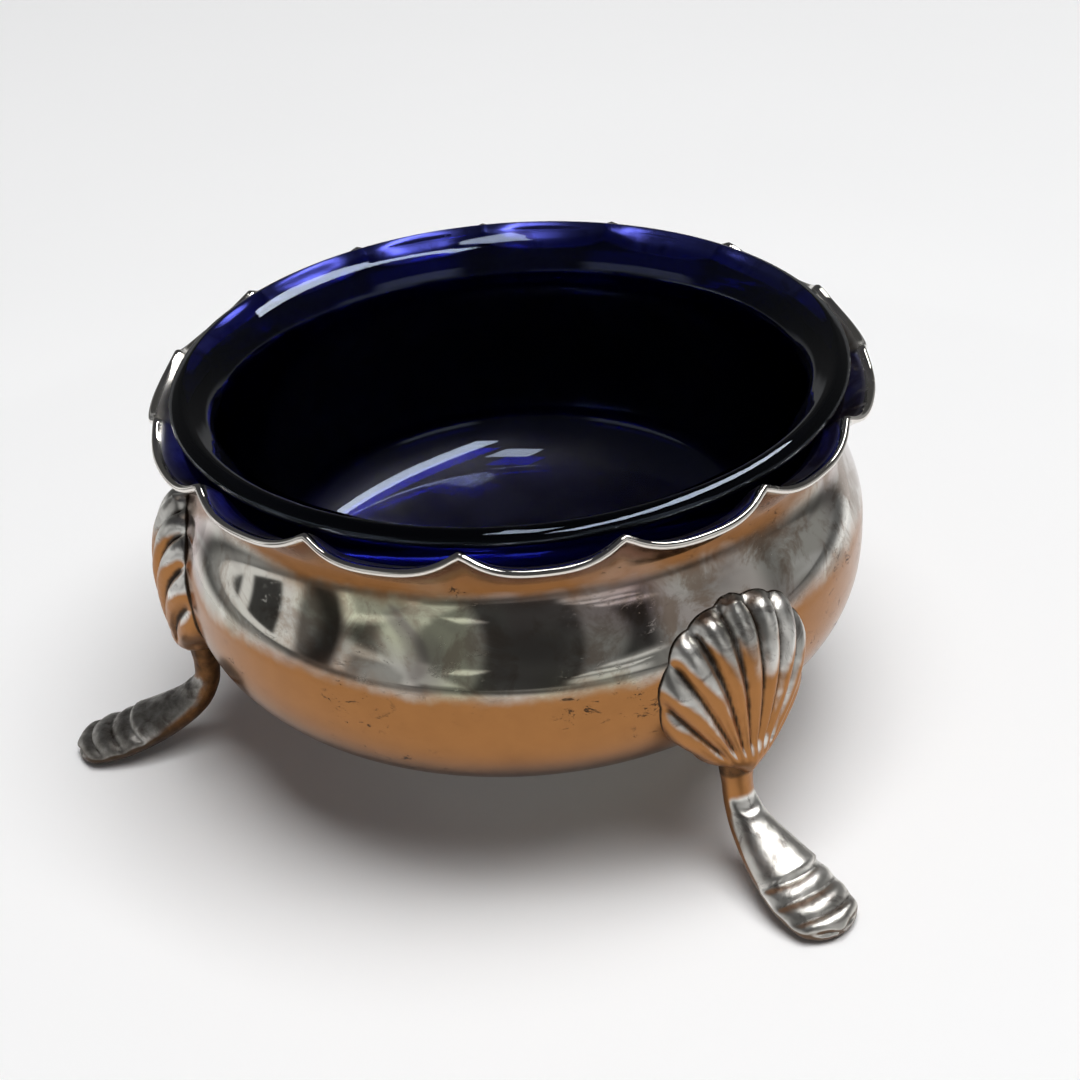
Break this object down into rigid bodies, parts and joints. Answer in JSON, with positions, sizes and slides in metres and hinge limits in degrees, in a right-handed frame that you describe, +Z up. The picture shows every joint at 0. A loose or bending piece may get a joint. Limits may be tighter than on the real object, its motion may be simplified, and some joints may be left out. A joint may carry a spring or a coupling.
{
  "type": "salt cellar",
  "caption": "Round silver salt cellar with a scalloped rim on shell-kneed cabriole legs, holding a drop-in dark blue glass liner for salt at the table.",
  "frame": {"origin": "on the table plane, straight under the middle of the bowl", "axes": "+Z up along the bowl's axis; the back leg stands on +Y and the two front legs either side of -Y"},
  "size_m": [0.0778, 0.0763, 0.0377],
  "materials": {
    "silver": "polished silver, warm-toned and lightly tarnished",
    "cobalt_glass": "polished dark blue glass"
  },
  "bodies": {
    "stand": {"bowl": "silver", "leg_left": "silver", "leg_right": "silver", "leg_back": "silver", "shell_left": "silver", "shell_right": "silver", "shell_back": "silver"},
    "liner": {"glass_liner": "cobalt_glass"}
  },
  "joints": [
    {"name": "liner_lift", "type": "slide", "parent": "stand", "child": "liner", "axis": [0, 0, 1], "range_m": [0, 0.04]}
  ]
}
